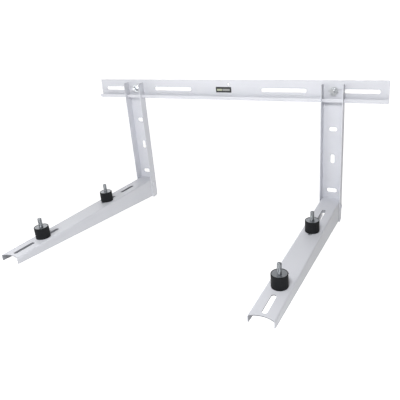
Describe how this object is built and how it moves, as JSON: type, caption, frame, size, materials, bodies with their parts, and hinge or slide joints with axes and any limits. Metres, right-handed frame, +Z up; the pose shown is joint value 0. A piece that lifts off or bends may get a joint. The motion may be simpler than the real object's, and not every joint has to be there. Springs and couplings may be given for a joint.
{
  "type": "air conditioner outdoor unit bracket",
  "caption": "Wall bracket with a slotted top rail, channel uprights and cantilever arms that carry rubber dampers with studs under an outdoor unit.",
  "frame": {"origin": "on the wall plane, at the middle of the rail's length and on the centre line of its slots", "axes": "+X along the rail to the right as seen from the front, +Y into the wall, +Z up"},
  "size_m": [0.78, 0.48, 0.338],
  "materials": {
    "powder_coated_steel": "white powder coat, satin",
    "zinc_plated_steel": "bright zinc plate",
    "damper_rubber": "moulded black rubber, satin"
  },
  "bodies": {
    "root": {"left_arm": "powder_coated_steel", "left_corner_rivets": "powder_coated_steel", "left_front_damper_base_plate": "zinc_plated_steel", "left_front_damper_nut": "zinc_plated_steel", "left_front_damper_rubber": "damper_rubber", "left_front_damper_top_plate": "zinc_plated_steel", "left_front_damper_washer": "zinc_plated_steel", "left_rail_nut": "zinc_plated_steel", "left_rail_stud": "zinc_plated_steel", "left_rail_washer": "zinc_plated_steel", "left_rear_damper_base_plate": "zinc_plated_steel", "left_rear_damper_nut": "zinc_plated_steel", "left_rear_damper_rubber": "damper_rubber", "left_rear_damper_top_plate": "zinc_plated_steel", "left_rear_damper_washer": "zinc_plated_steel", "left_upright": "powder_coated_steel", "rail": "powder_coated_steel", "right_arm": "powder_coated_steel", "right_corner_rivets": "powder_coated_steel", "right_front_damper_base_plate": "zinc_plated_steel", "right_front_damper_nut": "zinc_plated_steel", "right_front_damper_rubber": "damper_rubber", "right_front_damper_top_plate": "zinc_plated_steel", "right_front_damper_washer": "zinc_plated_steel", "right_rail_nut": "zinc_plated_steel", "right_rail_stud": "zinc_plated_steel", "right_rail_washer": "zinc_plated_steel", "right_rear_damper_base_plate": "zinc_plated_steel", "right_rear_damper_nut": "zinc_plated_steel", "right_rear_damper_rubber": "damper_rubber", "right_rear_damper_top_plate": "zinc_plated_steel", "right_rear_damper_washer": "zinc_plated_steel", "right_upright": "powder_coated_steel"}
  },
  "joints": []
}
